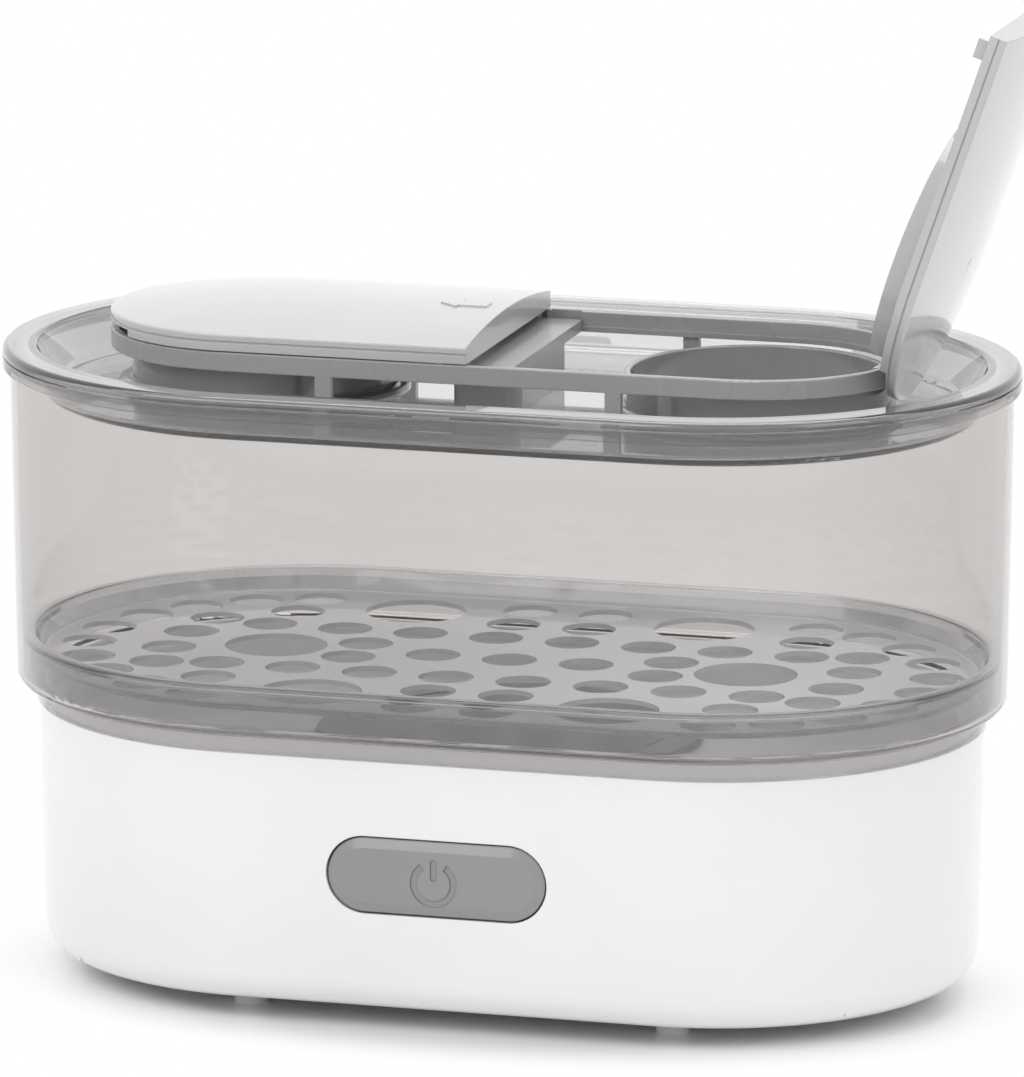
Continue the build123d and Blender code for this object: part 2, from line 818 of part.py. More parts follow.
def small_hole_spots(arc_radius):
    # A quarter of the pattern, mirrored to the other three
    half = hole_pitch_x / 2
    quarter = [(0.0, 0.0), (hole_pitch_x, 0.0), (2 * hole_pitch_x, paired_hole_y)]
    quarter += [(half + hole_pitch_x * column, first_row_y) for column in range(4)]
    quarter += [(half, first_row_y + hole_row_step * row) for row in (1, 2)]
    quarter += end_hole_spots
    # Outermost holes, on an arc round the end
    for place in range(5):
        turn = (place + 0.5) * arc_hole_pitch / arc_radius
        quarter.append((end_centre + arc_radius * math.cos(turn), arc_radius * math.sin(turn)))
    spots = set()
    for x, y in quarter:
        spots.update(four(x, y))
    return sorted(spots)


# Cover
def make_cover():
    rim = chamber_flange_radius
    ring_in = rim - cover_ring_width
    foot = ring_in - dish_slope
    locator_out = chamber_inner(chamber_rim_z) - locator_clearance
    locator_in = locator_out - locator_wall
    cover = racetrack(outline(
        (0, deck_bottom_z),
        (foot + cover_wall * 0.2, deck_bottom_z, dish_round),
        (ring_in + cover_wall, ring_bottom_z, 0.4),
        (locator_in, ring_bottom_z),
        (locator_in, ring_bottom_z - locator_height),
        (locator_out, ring_bottom_z - locator_height),
        (locator_out, ring_bottom_z),
        (rim, ring_bottom_z, 0.3),
        (rim, ring_top_z, cover_edge_round),
        (ring_in, ring_top_z, 0.8),
        (foot - cover_wall * 0.8, deck_top_z, dish_round),
        (0, deck_top_z),
    ))
    for x in (-port_centre, port_centre):
        hole = collar_outer_radius + collar_spigot_width + collar_fit
        cover -= post(hole, deck_bottom_z - 1, deck_top_z + 1, x)
    for x, y in four(post_x, frame_radius - post_thickness / 2):
        cover -= post(peg_radius + peg_clearance, deck_bottom_z, deck_top_z, x, y)
    return cover


def make_port_collar():
    # A ring with a flange that lies on the deck and a spigot that fills the port's hole.
    inner = collar_outer_radius - collar_wall
    spigot = collar_outer_radius + collar_spigot_width
    flange = collar_outer_radius + collar_flange_width
    spigot_low = deck_bottom_z + collar_fit
    flange_top = deck_top_z + collar_flange_thickness
    section = outline(
        (inner, spigot_low),
        (spigot, spigot_low, 0.3),
        (spigot, deck_top_z),
        (flange, deck_top_z),
        (flange, flange_top, 0.5),
        (collar_outer_radius, flange_top, 1.2),
        (collar_outer_radius, collar_top_z, 0.5),
        (inner, collar_top_z, 0.5),
    )
    return Pos(port_centre, 0, 0) * revolve(Plane.XZ * section, Axis.Z, 360)


# Lid frame
def make_lid_frame():
    inner = frame_radius - frame_wall
    frame = racetrack(outline(
        (inner - frame_flange, frame_bottom_z),
        (frame_radius, frame_bottom_z, 0.4),
        (frame_radius, frame_top_z, 0.5),
        (inner, frame_top_z, 0.3),
        (inner, frame_bottom_z + frame_flange),
        (inner - frame_flange, frame_bottom_z + frame_flange),
    ), port_centre)
    # Cross-bar between the ports, and the pedestal under it
    half = bar_half_width
    frame += block(-half, half, -inner - 0.5, inner + 0.5, frame_bottom_z, frame_bottom_z + bar_thickness)
    deep = pedestal_half_depth
    pedestal = block(-half, half, -deep, deep, deck_top_z, frame_bottom_z + 0.5)
    pedestal = fillet(pedestal.edges().filter_by(Axis.Z), 2.0)
    hollow = frame_wall
    pedestal -= block(-half + hollow, half - hollow, -deep + hollow, deep - hollow,
                      deck_top_z, frame_bottom_z - hollow)
    frame += pedestal
    # Posts that stand on the deck, each with a locating peg
    post_y = frame_radius - post_thickness / 2
    for x, y in four(post_x, post_y):
        frame += block(x - post_width / 2, x + post_width / 2, y - post_thickness / 2, y + post_thickness / 2,
                       deck_top_z, frame_bottom_z + 0.5)
        frame += post(peg_radius, deck_bottom_z + 0.2, deck_top_z + 0.5, x, y)
    for side in (1, -1):
        turn = Rot(0, 0, 0) if side == 1 else Rot(0, 0, 180)
        # Gap for the lid's knuckles, ears for the pin, and pockets that catch the lid's tabs
        gap = knuckle_outer_y + ear_gap
        frame -= turn * block(hinge_x - ear_radius, port_centre + frame_radius + 1, -gap, gap,
                              frame_bottom_z - 1, frame_top_z + 1)
        for edge in (1, -1):
            near, far = sorted((edge * gap, edge * (gap + ear_width)))
            wall_x = port_centre + math.sqrt(inner ** 2 - (gap + ear_width) ** 2) + frame_wall / 2
            ear = bar_y(ear_radius, near, far, hinge_x, hinge_z)
            ear += block(hinge_x, wall_x, near, far, hinge_z - ear_radius, hinge_z + ear_radius)
            frame += turn * ear
            pocket_y = sorted((edge * (inner - 0.5), edge * (inner + catch_depth)))
            frame -= turn * block(catch_x - catch_length / 2, catch_x + catch_length / 2,
                                  pocket_y[0], pocket_y[1], lid_bottom_z - tab_drop - catch_gap, frame_top_z + 1)
        frame -= turn * bar_y(pin_radius, -gap - ear_width, gap + ear_width, hinge_x, hinge_z)
    return frame


def make_hinge_pin():
    reach = knuckle_outer_y + ear_gap + ear_width
    return bar_y(pin_radius, -reach, reach, hinge_x, hinge_z)


# Lids, made for the right side in the closed place
def crown_section(radius, side_z, crown, bottom_z, edge_round):
    # A section with a side wall and a crowned top, from the middle out to the wall.
    middle = (0, side_z + crown)
    arch_radius = (radius ** 2 + crown ** 2) / (2 * crown)
    quarter = radius * 0.5
    lift = math.sqrt(arch_radius ** 2 - quarter ** 2) - (arch_radius - crown)
    boundary = [
        Line((0, bottom_z), (radius, bottom_z)),
        Line((radius, bottom_z), (radius, side_z)),
        ThreePointArc((radius, side_z), (quarter, side_z + lift), middle),
        Line(middle, (0, bottom_z)),
    ]
    face = make_face(boundary)
    if edge_round:
        corner = face.vertices().sort_by_distance(Vector(radius, side_z))[0:1]
        face = fillet(corner, edge_round)
    return face


def make_lid():
    outer = crown_section(frame_radius, lid_side_z, lid_crown, lid_bottom_z, lid_round)
    inner_radius = frame_radius - lid_wall
    hollow = crown_section(inner_radius, lid_side_z - lid_wall * 0.7, lid_crown, lid_bottom_z - 1, 0)
    lid = half_racetrack(outer, port_centre, free_edge_gap)
    lid -= half_racetrack(hollow, port_centre, free_edge_gap + lid_wall)
    # Fine step round the side wall
    groove_low = lid_bottom_z + lid_side_height * 0.5
    groove = outline((frame_radius - lid_step, groove_low), (frame_radius + 1, groove_low),
                     (frame_radius + 1, groove_low + 0.4), (frame_radius - lid_step, groove_low + 0.4))
    lid -= half_racetrack(groove, port_centre, free_edge_gap)
    # Hinge notch
    lid -= block(liner_end_x - 4.0, port_centre + frame_radius + 1, -hinge_notch_half, hinge_notch_half,
                 lid_bottom_z - 1, lid_bottom_z + hinge_notch_height)
    # Knuckles on the pin
    for edge in (1, -1):
        near, far = sorted((edge * knuckle_inner_y, edge * knuckle_outer_y))
        arm = bar_y(knuckle_radius, near, far, hinge_x, hinge_z)
        arm += block(hinge_x - knuckle_radius, hinge_x + knuckle_radius - 0.6, near, far,
                     hinge_z, lid_side_z - 0.2)
        lid += arm
        # Tabs that click into the frame
        inside = inner_radius + 0.1
        tab_y = sorted((edge * (inside - tab_thickness), edge * inside))
        lid += block(catch_x - tab_length / 2, catch_x + tab_length / 2, tab_y[0], tab_y[1],
                     lid_bottom_z - tab_drop, lid_side_z - 0.6)
    lid -= bar_y(pin_radius + pin_clearance, -knuckle_outer_y - 1, knuckle_outer_y + 1, hinge_x, hinge_z)
    # Raised arrow that points to the hinge
    lift = extrude(Pos(0, 0, lid_side_z) * arrow_face(), lid_crown + 2)
    raised = crown_section(frame_radius, lid_side_z + arrow_height, lid_crown, lid_side_z, 0)
    lid += lift & half_racetrack(raised, port_centre, free_edge_gap)
    return lid


def arrow_face():
    tip = arrow_centre_x + arrow_length / 2
    neck = tip - arrow_head_length
    tail = arrow_centre_x - arrow_length / 2
    shaft = arrow_shaft_width / 2
    barb = arrow_head_width / 2
    return make_face(Polyline((tail, -shaft), (neck, -shaft), (neck, -barb), (tip, 0),
                              (neck, barb), (neck, shaft), (tail, shaft), close=True))


def make_lid_liner():
    radius = frame_radius - lid_wall - liner_clearance
    bottom = lid_bottom_z + 0.2
    plate = slab(radius, bottom, bottom + liner_thickness, port_centre)
    start = free_edge_gap + lid_wall + liner_clearance
    plate &= block(start, liner_end_x, -radius - 1, radius + 1, bottom, bottom + liner_thickness)
    outer = post(plug_radius, plug_bottom_z, bottom, port_centre)
    outer &= block(0, plug_flat_x, -plug_radius - 1, plug_radius + 1, plug_bottom_z, bottom)
    inner = post(plug_radius - plug_wall, plug_bottom_z, bottom, port_centre)
    inner &= block(0, plug_flat_x - plug_wall, -plug_radius - 1, plug_radius + 1, plug_bottom_z, bottom)
    liner = plate + (outer - inner)
    # Notches for the lid's tabs
    for edge in (1, -1):
        inside = sorted((edge * (radius - tab_thickness - 0.4), edge * (radius + 1)))
        liner -= block(catch_x - tab_length / 2 - 0.3, catch_x + tab_length / 2 + 0.3, inside[0], inside[1],
                       bottom, bottom + liner_thickness)
    return liner


# Write every piece
save(make_base_housing(), "base_housing")
save(make_bottom_cover(), "bottom_cover")
foot_names = ("foot_back_right", "foot_back_left", "foot_front_left", "foot_front_right")
for name, (x, y) in zip(foot_names, four(foot_x, foot_y)):
    save(make_foot(x, y), name)
save(make_bottom_screws(), "bottom_screws")
save(make_water_pan(), "water_pan")
save(make_plate_gasket(), "plate_gasket")
save(make_heating_plate(), "heating_plate")
save(make_clamp_ring(), "plate_clamp_ring")
save(make_plate_nuts(), "plate_nuts")
save(make_heater_element(), "heater_element")
save(make_thermostat(), "thermostat")
save(make_thermostat_bracket(), "thermostat_bracket")
save(make_bracket_nuts(), "bracket_nuts")
save(make_thermal_fuse(), "thermal_fuse")
save(make_power_button(), "power_button")
save(make_switch_plunger(), "switch_plunger")
save(make_tact_switch(), "tact_switch")
save(make_control_board(), "control_board")
save(make_board_screws(), "board_screws")
save(make_indicator_led(), "indicator_led")
save(make_relay(), "relay")
save(make_capacitor(), "capacitor")
save(make_cord_gland(), "cord_gland")
save(make_gland_nut(), "gland_nut")
save(make_terminal_block(), "terminal_block")
for name, part in make_leads().items():
    save(part, name)
save(make_chamber(), "chamber")
save(make_tray(), "tray")
save(make_cover(), "cover")
collar = make_port_collar()
save(collar, "right_port_collar")
save(to_left(collar), "left_port_collar")
save(make_lid_frame(), "lid_frame")
pin = make_hinge_pin()
save(pin, "right_hinge_pin")
save(to_left(pin), "left_hinge_pin")
lid = make_lid()
liner = make_lid_liner()
save(opened(lid), "right_lid")
save(opened(liner), "right_lid_liner")
save(to_left(lid), "left_lid")
save(to_left(liner), "left_lid_liner")
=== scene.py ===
import json
import math

import bmesh
import bpy
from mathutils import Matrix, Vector

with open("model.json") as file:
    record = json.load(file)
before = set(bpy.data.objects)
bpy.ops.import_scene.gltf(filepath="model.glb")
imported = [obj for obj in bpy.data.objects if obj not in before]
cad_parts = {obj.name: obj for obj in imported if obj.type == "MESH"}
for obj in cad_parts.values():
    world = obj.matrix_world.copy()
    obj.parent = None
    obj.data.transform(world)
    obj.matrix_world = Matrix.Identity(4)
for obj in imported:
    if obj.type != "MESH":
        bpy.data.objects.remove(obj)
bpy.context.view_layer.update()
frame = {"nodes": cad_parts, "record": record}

nodes = frame["nodes"]
print("frame loaded:", len(nodes), "nodes")


# camera: the photograph was taken with a long lens, a little above the rim
cameraSetup = {
    "azimuth": 15.84,      # degrees to the right of straight ahead
    "elevation": 12.29,
    "distance": 2.7192,
    "target": (0.00061, 0.0, 0.11633),
    "lens": 350.07,        # mm, on a 36 mm sensor
    "sensor": 36.0,
    "nearest": 0.05,
    "farthest": 60.0,
}


def makeCamera(setup):
    a = math.radians(setup["azimuth"])
    e = math.radians(setup["elevation"])
    back = Vector((math.sin(a) * math.cos(e), -math.cos(a) * math.cos(e), math.sin(e)))
    data = bpy.data.cameras.new("camera")
    data.lens = setup["lens"]
    data.sensor_width = setup["sensor"]
    data.clip_start = setup["nearest"]
    data.clip_end = setup["farthest"]
    cam = bpy.data.objects.new("camera", data)
    cam.location = Vector(setup["target"]) + back * setup["distance"]
    cam.rotation_mode = "QUATERNION"
    cam.rotation_quaternion = (-back).to_track_quat("-Z", "Y")
    bpy.context.scene.collection.objects.link(cam)
    bpy.context.scene.camera = cam


makeCamera(cameraSetup)
bpy.context.scene.view_settings.view_transform = "Standard"
print("camera placed")


# material helpers
def hexColor(text):
    def toLinear(c):
        return c / 12.92 if c <= 0.04045 else ((c + 0.055) / 1.055) ** 2.4
    text = text.lstrip("#")
    return tuple(toLinear(int(text[i:i + 2], 16) / 255) for i in (0, 2, 4)) + (1.0,)


def addNode(tree, kind, settings=None, links=None):
    # settings are attributes or input values; links are input name -> (node, output)
    node = tree.nodes.new(kind)
    for key, value in (settings or {}).items():
        if isinstance(key, str) and hasattr(node, key):
            setattr(node, key, value)
        else:
            node.inputs[key].default_value = value
    for key, (source, output) in (links or {}).items():
        tree.links.new(source.outputs[output], node.inputs[key])
    return node


def startMaterial(name):
    mat = bpy.data.materials.new(name)
    mat.use_nodes = True
    mat.node_tree.nodes.clear()
    return mat, mat.node_tree


mottleBand = (0.35, 0.65)      # the noise values between which one colour turns to the other


def mottled(tree, setup, scale, detail):
    # slight, large-scale unevenness between two colours
    coords = addNode(tree, "ShaderNodeTexCoord")
    noise = addNode(tree, "ShaderNodeTexNoise", {"Scale": scale, "Detail": detail},
                    {"Vector": (coords, "Object")})
    ramp = addNode(tree, "ShaderNodeValToRGB", {}, {"Fac": (noise, 0)})
    stops = ramp.color_ramp.elements
    stops[0].position, stops[1].position = mottleBand
    stops[0].color, stops[1].color = hexColor(setup["low"]), hexColor(setup["high"])
    return coords, noise, ramp


# noise scales are in waves per metre, lengths in metres
mouldSetup = {
    "mottleScale": 14.0, "mottleDetail": 3.0,
    "glossScale": 45.0, "glossDetail": 1.0, "glossWaves": (0.25, 0.75), "glossSpread": 0.2,
    "grainDetail": 2.0, "grainDepth": 0.0001,
    "edgeSamples": 4, "ior": 1.5, "coatRoughness": 0.06,
}


def mouldedPlastic(setup):
    # moulded plastic or rubber: an even colour, faint flow waves from the tool, a fine grain
    # that breaks up the gloss a little, and soft edges that catch a line of light
    mat, tree = startMaterial(setup["name"])
    coords, noise, color = mottled(tree, setup, mouldSetup["mottleScale"],
                                   mouldSetup["mottleDetail"])
    if "sign" in setup:
        color = paintedSignShade(tree, coords, color, setup["sign"])
    fine = addNode(tree, "ShaderNodeTexNoise",
                   {"Scale": setup["grain"], "Detail": mouldSetup["grainDetail"]},
                   {"Vector": (coords, "Object")})
    slow = addNode(tree, "ShaderNodeTexNoise",
                   {"Scale": mouldSetup["glossScale"], "Detail": mouldSetup["glossDetail"]},
                   {"Vector": (coords, "Object")})
    low, high = mouldSetup["glossWaves"]
    gloss = addNode(tree, "ShaderNodeMapRange",
                    {"From Min": low, "From Max": high,
                     "To Min": setup["roughness"] * (1 - mouldSetup["glossSpread"]),
                     "To Max": setup["roughness"] * (1 + mouldSetup["glossSpread"])},
                    {"Value": (slow, 0)})
    relief = addNode(tree, "ShaderNodeBump",
                     {"Strength": setup["bump"], "Distance": mouldSetup["grainDepth"]},
                     {"Height": (fine, 0)})
    shader = addNode(tree, "ShaderNodeBsdfPrincipled",
                     {"IOR": mouldSetup["ior"], "Coat Weight": setup.get("coat", 0.0),
                      "Coat Roughness": mouldSetup["coatRoughness"]},
                     {"Base Color": (color, 0), "Roughness": (gloss, 0), "Normal": (relief, 0)})
    if "edge" in setup:
        soft = addNode(tree, "ShaderNodeBevel",
                       {"samples": mouldSetup["edgeSamples"], "Radius": setup["edge"]})
        tree.links.new(soft.outputs[0], relief.inputs["Normal"])
        tree.links.new(soft.outputs[0], shader.inputs["Coat Normal"])
    addNode(tree, "ShaderNodeOutputMaterial", {}, {"Surface": (shader, 0)})
    return mat


def paintedSignShade(tree, coords, color, sign):
    # painted shade: the walls of the moulded power sign are darkened in colour to stand for the
    # shade that falls in the groove
    axis = addNode(tree, "ShaderNodeSeparateXYZ", {}, {"Vector": (coords, "Object")})
    dx = addNode(tree, "ShaderNodeMath", {"operation": "SUBTRACT", 1: sign["x"]},
                 {0: (axis, "X")})
    dz = addNode(tree, "ShaderNodeMath", {"operation": "SUBTRACT", 1: sign["z"]},
                 {0: (axis, "Z")})
    flat = addNode(tree, "ShaderNodeCombineXYZ", {}, {"X": (dx, 0), "Y": (dz, 0)})
    reach = addNode(tree, "ShaderNodeVectorMath", {"operation": "LENGTH"}, {0: (flat, 0)})
    near = addNode(tree, "ShaderNodeMath", {"operation": "LESS_THAN", 1: sign["reach"]},
                   {0: (reach, "Value")})
    behind = addNode(tree, "ShaderNodeMath", {"operation": "GREATER_THAN", 1: sign["wallFront"]},
                     {0: (axis, "Y")})
    before = addNode(tree, "ShaderNodeMath", {"operation": "LESS_THAN", 1: sign["wallBack"]},
                     {0: (axis, "Y")})
    wall = addNode(tree, "ShaderNodeMath", {"operation": "MULTIPLY"},
                   {0: (behind, 0), 1: (before, 0)})
    mask = addNode(tree, "ShaderNodeMath", {"operation": "MULTIPLY"}, {0: (wall, 0), 1: (near, 0)})
    return addNode(tree, "ShaderNodeMixRGB", {"Color2": hexColor(sign["shade"])},
                   {"Fac": (mask, 0), "Color1": (color, 0)})


clearSetup = {"flowScale": 9.0, "flowDetail": 1.0, "flowWaves": (0.3, 0.7), "flowSpread": 0.3,
              "rippleDepth": 0.001, "coatRoughness": 0.04, "clearness": 1.0}


def clearPlastic(setup):
    # clear moulded plastic with a grey smoke: it darkens with the length of plastic that is
    # looked through, and lamps and bounced light reach what is inside
    mat, tree = startMaterial(setup["name"])
    coords, flow, ramp = mottled(tree, setup, clearSetup["flowScale"], clearSetup["flowDetail"])
    relief = addNode(tree, "ShaderNodeBump",
                     {"Strength": setup["ripple"], "Distance": clearSetup["rippleDepth"]},
                     {"Height": (flow, 0)})
    low, high = clearSetup["flowWaves"]
    gloss = addNode(tree, "ShaderNodeMapRange",
                    {"From Min": low, "From Max": high,
                     "To Min": setup["roughness"] * (1 - clearSetup["flowSpread"]),
                     "To Max": setup["roughness"] * (1 + clearSetup["flowSpread"])},
                    {"Value": (flow, 0)})
    shader = addNode(tree, "ShaderNodeBsdfPrincipled",
                     {"IOR": setup["ior"], "Transmission Weight": clearSetup["clearness"],
                      "Coat Weight": setup["coat"],
                      "Coat Roughness": clearSetup["coatRoughness"]},
                     {"Base Color": (ramp, 0), "Roughness": (gloss, 0), "Normal": (relief, 0)})
    if "floor" in setup:
        mask = floorMask(tree, coords, setup["floor"])
        clearness = addNode(tree, "ShaderNodeMapRange",
                            {"To Min": clearSetup["clearness"],
                             "To Max": setup["floor"]["clearness"]}, {"Value": (mask, 0)})
        tree.links.new(clearness.outputs[0], shader.inputs["Transmission Weight"])
    letThrough = addNode(tree, "ShaderNodeBsdfTransparent", {"Color": hexColor(setup["shadow"])})
    lightPath = addNode(tree, "ShaderNodeLightPath")
    forLight = addNode(tree, "ShaderNodeMath", {"operation": "ADD", "use_clamp": True},
                       {0: (lightPath, "Is Shadow Ray"), 1: (lightPath, "Is Diffuse Ray")})
    mix = addNode(tree, "ShaderNodeMixShader", {},
                  {0: (forLight, 0), 1: (shader, 0), 2: (letThrough, 0)})
    out = addNode(tree, "ShaderNodeOutputMaterial", {}, {"Surface": (mix, 0)})
    if "smoke" in setup:
        smoke = addNode(tree, "ShaderNodeVolumeAbsorption",
                        {"Color": hexColor(setup["smoke"]), "Density": setup["density"]})
        tree.links.new(smoke.outputs[0], out.inputs["Volume"])
    return mat


def floorMask(tree, coords, floor):
    # 1 on the perforated floor, 0 on the tray's clear wall, rim and skirt
    axis = addNode(tree, "ShaderNodeSeparateXYZ", {}, {"Vector": (coords, "Object")})
    side = addNode(tree, "ShaderNodeMath", {"operation": "ABSOLUTE"}, {0: (axis, "X")})
    past = addNode(tree, "ShaderNodeMath", {"operation": "SUBTRACT", 1: floor["endCentre"]},
                   {0: (side, 0)})
    along = addNode(tree, "ShaderNodeMath", {"operation": "MAXIMUM", 1: 0.0}, {0: (past, 0)})
    flat = addNode(tree, "ShaderNodeCombineXYZ", {}, {"X": (along, 0), "Y": (axis, "Y")})
    reach = addNode(tree, "ShaderNodeVectorMath", {"operation": "LENGTH"}, {0: (flat, 0)})
    inside = addNode(tree, "ShaderNodeMath", {"operation": "LESS_THAN", 1: floor["radius"]},
                     {0: (reach, "Value")})
    low = addNode(tree, "ShaderNodeMath", {"operation": "LESS_THAN", 1: floor["top"]},
                  {0: (axis, "Z")})
    return addNode(tree, "ShaderNodeMath", {"operation": "MULTIPLY"},
                   {0: (inside, 0), 1: (low, 0)})


metalSetup = {"lineDetail": 2.0, "lineWaves": (0.3, 0.7), "lineSpread": 0.3,
              "lineStrength": 0.15, "lineDepth": 0.0001}


def bareMetal(setup):
    # rolled or turned metal: fine lines one way
    mat, tree = startMaterial(setup["name"])
    coords = addNode(tree, "ShaderNodeTexCoord")
    place = addNode(tree, "ShaderNodeMapping", {"Scale": setup["stretch"]},
                    {"Vector": (coords, "Object")})
    lines = addNode(tree, "ShaderNodeTexNoise",
                    {"Scale": setup["lines"], "Detail": metalSetup["lineDetail"]},
                    {"Vector": (place, 0)})
    low, high = metalSetup["lineWaves"]
    gloss = addNode(tree, "ShaderNodeMapRange",
                    {"From Min": low, "From Max": high,
                     "To Min": setup["roughness"] * (1 - metalSetup["lineSpread"]),
                     "To Max": setup["roughness"] * (1 + metalSetup["lineSpread"])},
                    {"Value": (lines, 0)})
    relief = addNode(tree, "ShaderNodeBump",
                     {"Strength": metalSetup["lineStrength"], "Distance": metalSetup["lineDepth"]},
                     {"Height": (lines, 0)})
    shader = addNode(tree, "ShaderNodeBsdfPrincipled",
                     {"Base Color": hexColor(setup["color"]), "Metallic": 1.0},
                     {"Roughness": (gloss, 0), "Normal": (relief, 0)})
    addNode(tree, "ShaderNodeOutputMaterial", {}, {"Surface": (shader, 0)})
    return mat


# moulded plastics and rubbers by the record's material slot; "edge" is the soft edge's radius
plasticSetup = {
    # polished ABS: white, with clear reflections
    "base_plastic": {"name": "whiteGlossAbs", "low": "#F1F1F1", "high": "#F5F5F5",
                     "roughness": 0.16, "grain": 500.0, "bump": 0.02, "coat": 0.8,
                     "edge": 0.0004},
    # ABS from an etched tool: dull white
    "cover_plastic": {"name": "whiteTexturedAbs", "low": "#DCDCDA", "high": "#E6E6E4",
                      "roughness": 0.5, "grain": 1400.0, "bump": 0.25},
    # satin ABS key, with a power sign moulded into it
    "button_plastic": {"name": "satinGreyAbs", "low": "#909092", "high": "#969698",
                       "roughness": 0.22, "grain": 600.0, "bump": 0.02, "coat": 0.4,
                       "edge": 0.0005,
                       # the sign's groove walls get a painted shade of colour #4A4A4C
                       "sign": {"x": -0.0005, "z": 0.0409, "reach": 0.0064, "shade": "#4A4A4C",
                                "wallFront": -0.06966, "wallBack": -0.06934}},
    # mid-grey ABS with a soft sheen
    "frame_plastic": {"name": "midGreyAbs", "low": "#9A9A9C", "high": "#A0A0A2",
                      "roughness": 0.26, "grain": 600.0, "bump": 0.02, "coat": 0.2},
    # the same grey as the frame, polished, with sharper reflections; its colour is set darker as
    # painted shade, for the shade it sits in under the frame
    "collar_plastic": {"name": "glossyMidGreyAbs", "low": "#7F7F82", "high": "#868689",
                       "roughness": 0.14, "grain": 600.0, "bump": 0.02, "coat": 0.6,
                       "edge": 0.0004},
    # polished light grey ABS: nearly a mirror at a low angle
    "lid_plastic": {"name": "lightGreyGlossAbs", "low": "#BCBCBD", "high": "#C2C2C3",
                    "roughness": 0.20, "grain": 600.0, "bump": 0.01, "coat": 1.0,
                    "edge": 0.0004},
    # silicone rubber: dull, a little chalky
    "foot_rubber": {"name": "paleSiliconeRubber", "low": "#E2E2E0", "high": "#EAEAE8",
                    "roughness": 0.45, "grain": 700.0, "bump": 0.1},
    "silicone": {"name": "greySiliconeRubber", "low": "#94948F", "high": "#A2A29C",
                 "roughness": 0.55, "grain": 700.0, "bump": 0.1},
    "lead_white": {"name": "whiteSiliconeSleeve", "low": "#D8D8D3", "high": "#E4E4DF",
                   "roughness": 0.45, "grain": 800.0, "bump": 0.08},
    # PVC lead insulation: strong colour, slightly waxy
    "lead_brown": {"name": "brownPvc", "low": "#5A3420", "high": "#6A3E27",
                   "roughness": 0.4, "grain": 800.0, "bump": 0.08},
    "lead_blue": {"name": "bluePvc", "low": "#1F4894", "high": "#2853A6",
                  "roughness": 0.4, "grain": 800.0, "bump": 0.08},
    # black ABS and blue polyester cases of the electric parts: dull and finely grained
    "dark_plastic": {"name": "blackAbs", "low": "#1B1B1C", "high": "#242425",
                     "roughness": 0.4, "grain": 1200.0, "bump": 0.12},
    "relay_plastic": {"name": "blueRelayCase", "low": "#1E3A74", "high": "#254585",
                      "roughness": 0.35, "grain": 900.0, "bump": 0.08},
    # glass laminate under solder mask: green, with the weave just felt
    "board": {"name": "greenSolderMask", "low": "#1C5A34", "high": "#236B3E",
              "roughness": 0.3, "grain": 1500.0, "bump": 0.12},
    # polished acrylic lens: red and glossy
    "led_plastic": {"name": "redIndicatorLens", "low": "#B23A2C", "high": "#C94A38",
                    "roughness": 0.2, "grain": 700.0, "bump": 0.02},
}
# natural nylon: creamy, low gloss
nylon = {"name": "paleNylon", "low": "#CFCDC6", "high": "#DAD8D2", "roughness": 0.42,
         "grain": 900.0, "bump": 0.1}

metalSlots = {
    # stainless sheet: grey, with rolling lines along its length
    "plate_steel": {"name": "brushedStainlessSteel", "color": "#B4B4B3", "roughness": 0.42,
                    "lines": 60.0, "stretch": (1.0, 14.0, 1.0)},
    # zinc-plated steel: brighter and slightly blue
    "steel": {"name": "platedSteel", "color": "#B9BABD", "roughness": 0.3,
              "lines": 200.0, "stretch": (1.0, 1.0, 6.0)},
}
# drawn aluminium: soft grey with faint lines
aluminium = {"name": "aluminiumSheath", "color": "#A9A8A5", "roughness": 0.42,
             "lines": 120.0, "stretch": (1.0, 1.0, 4.0)}

clearSlots = {
    # smoky copolyester wall: clear, a little warm. The index is below the real 1.52, at which
    # the wall's lower step traps the view and shows black through the tray's holes
    "clear_smoke": {"name": "clearSmokyCopolyester", "low": "#F2F1F0", "high": "#F6F5F4",
                    "shadow": "#F8F8F8", "roughness": 0.02, "ior": 1.15, "ripple": 0.05,
                    "coat": 0.8, "smoke": "#502800", "density": 80.0},
    # thicker grey copolyester: darker and cooler, and it bends the edges behind it
    "cover_smoke": {"name": "greySmokyCopolyester", "low": "#E0E0E2", "high": "#E6E6E8",
                    "shadow": "#F0F0F1", "roughness": 0.03, "ior": 1.52, "ripple": 0.04,
                    "coat": 1.0, "smoke": "#080848", "density": 62.0},
    # natural polypropylene: milky on the thick floor, clear at the thin wall
    "tray_plastic": {"name": "clearPolypropyleneHazyFloor", "low": "#DADADC", "high": "#E0E0E2",
                     "shadow": "#DEDEDF", "roughness": 0.06, "ior": 1.49, "ripple": 0.06,
                     "coat": 0.7,
                     "floor": {"endCentre": 0.0556, "radius": 0.069, "top": 0.0844,
                               "clearness": 0.2}},
}

finishes = {}
for slots, make in ((plasticSetup, mouldedPlastic), (metalSlots, bareMetal),
                    (clearSlots, clearPlastic)):
    for slot, setup in slots.items():
        finishes[slot] = make(setup)
finishes["gland_plastic"] = finishes["terminal_plastic"] = mouldedPlastic(nylon)
finishes["element_metal"] = finishes["capacitor_can"] = bareMetal(aluminium)
for entry in frame["record"]["subparts"]:
    piece = nodes[entry["node"]]
    piece.data.materials.clear()
    piece.data.materials.append(finishes[entry["material_slot"]])
print("finishes set")


# stage: a white glossy table. Under the part it takes the shadow, and away from it the camera
# sees plain white; the squeeze makes that border as long as the part
stageSetup = {"size": 12.0, "color": "#FAFAFA", "roughness": 0.18, "specular": 0.35,
              "nearRadius": 0.066, "farRadius": 0.096, "squeeze": (0.62, 1.0, 1.0)}


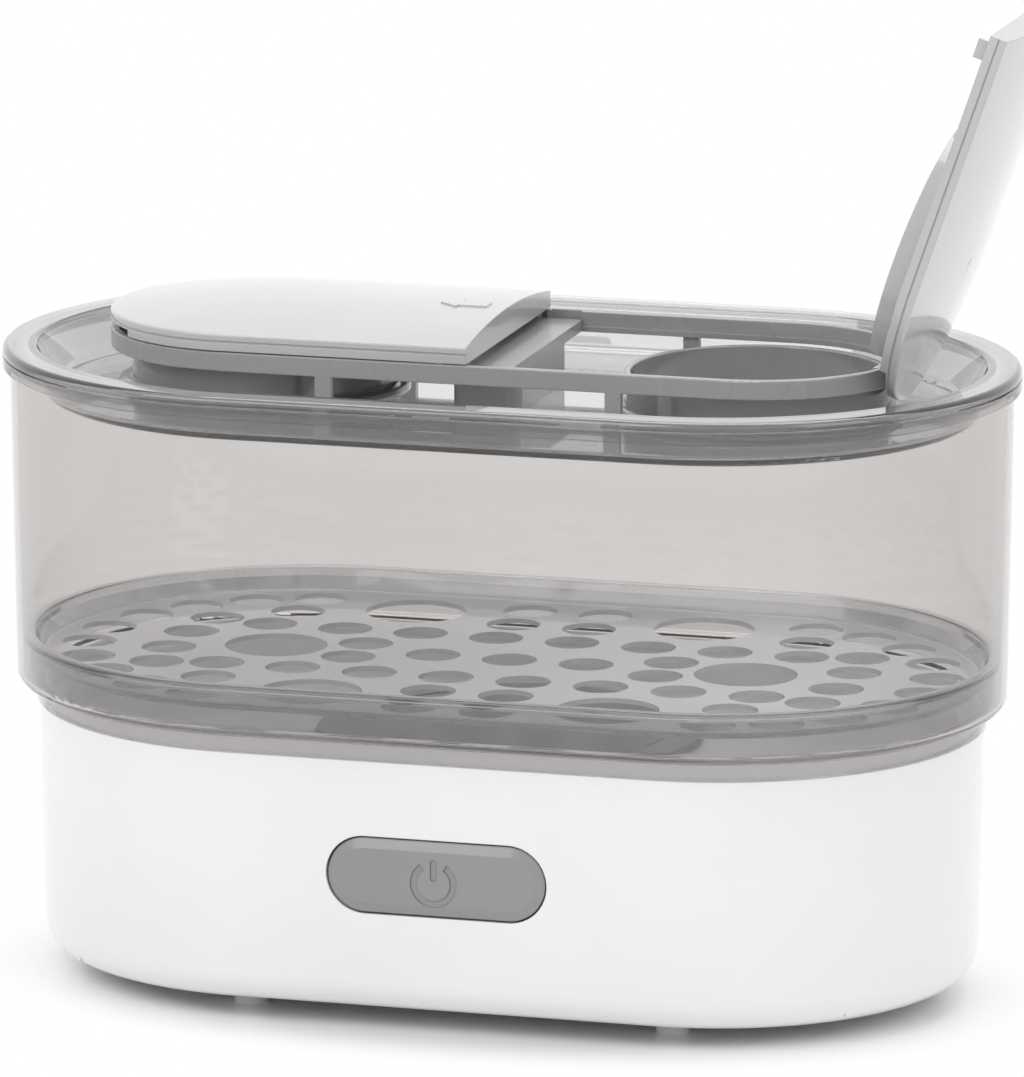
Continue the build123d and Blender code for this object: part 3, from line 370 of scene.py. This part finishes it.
def makeStage(setup):
    mat, tree = startMaterial("whiteAcrylicTable")
    coords = addNode(tree, "ShaderNodeTexCoord")
    squeeze = addNode(tree, "ShaderNodeMapping", {"Scale": setup["squeeze"]},
                      {"Vector": (coords, "Object")})
    away = addNode(tree, "ShaderNodeVectorMath", {"operation": "LENGTH"}, {0: (squeeze, 0)})
    mask = addNode(tree, "ShaderNodeMapRange",
                   {"interpolation_type": "SMOOTHSTEP", "From Min": setup["nearRadius"],
                    "From Max": setup["farRadius"]}, {"Value": (away, "Value")})
    white = addNode(tree, "ShaderNodeMath", {"operation": "MULTIPLY"},
                    {0: (seenRays(tree), 0), 1: (mask, 0)})
    surface = addNode(tree, "ShaderNodeBsdfPrincipled",
                      {"Base Color": hexColor(setup["color"]), "Roughness": setup["roughness"],
                       "Specular IOR Level": setup["specular"]})
    glow = addNode(tree, "ShaderNodeEmission", {"Color": (1, 1, 1, 1), "Strength": 1.0})
    mix = addNode(tree, "ShaderNodeMixShader", {}, {0: (white, 0), 1: (surface, 0), 2: (glow, 0)})
    addNode(tree, "ShaderNodeOutputMaterial", {}, {"Surface": (mix, 0)})
    bm = bmesh.new()
    bmesh.ops.create_grid(bm, x_segments=2, y_segments=2, size=setup["size"] / 2)
    mesh = bpy.data.meshes.new("table")
    bm.to_mesh(mesh)
    bm.free()
    mesh.materials.append(mat)
    table = bpy.data.objects.new("table", mesh)
    bpy.context.scene.collection.objects.link(table)


def seenRays(tree):
    # 1 for what the camera sees straight, through the clear plastic or in a reflection
    lightPath = addNode(tree, "ShaderNodeLightPath")
    seen = addNode(tree, "ShaderNodeMath", {"operation": "ADD", "use_clamp": True},
                   {0: (lightPath, "Is Camera Ray"), 1: (lightPath, "Is Transmission Ray")})
    return addNode(tree, "ShaderNodeMath", {"operation": "ADD", "use_clamp": True},
                   {0: (seen, 0), 1: (lightPath, "Is Glossy Ray")})


makeStage(stageSetup)

lightSetup = {
    "world": 0.70,
    "seenWorld": 1.0,
    "aim": (0.0, 0.0, 0.1),
    "lamps": {
        # place, width, height, watts
        "keySoftbox": ((-0.9, -1.5, 1.7), 1.6, 1.4, 14.0),
        "fillSoftbox": ((1.6, -0.9, 0.9), 0.9, 1.3, 4.0),
        "topSoftbox": ((0.1, 0.5, 1.9), 1.6, 1.0, 12.0),
    },
}


def makeLights(setup):
    world = bpy.data.worlds.new("studio")
    bpy.context.scene.world = world
    world.use_nodes = True
    tree = world.node_tree
    tree.nodes.clear()
    strength = addNode(tree, "ShaderNodeMapRange",
                       {"To Min": setup["world"], "To Max": setup["seenWorld"]},
                       {"Value": (seenRays(tree), 0)})
    back = addNode(tree, "ShaderNodeBackground", {"Color": (1, 1, 1, 1)},
                   {"Strength": (strength, 0)})
    addNode(tree, "ShaderNodeOutputWorld", {}, {"Surface": (back, 0)})
    for name, (place, width, height, watts) in setup["lamps"].items():
        data = bpy.data.lights.new(name, "AREA")
        data.shape = "RECTANGLE"
        data.size = width
        data.size_y = height
        data.energy = watts
        lamp = bpy.data.objects.new(name, data)
        lamp.location = place
        lamp.rotation_mode = "QUATERNION"
        lamp.rotation_quaternion = (Vector(setup["aim"]) - Vector(place)).to_track_quat("-Z", "Y")
        bpy.context.scene.collection.objects.link(lamp)


makeLights(lightSetup)
print("stage and lights set")
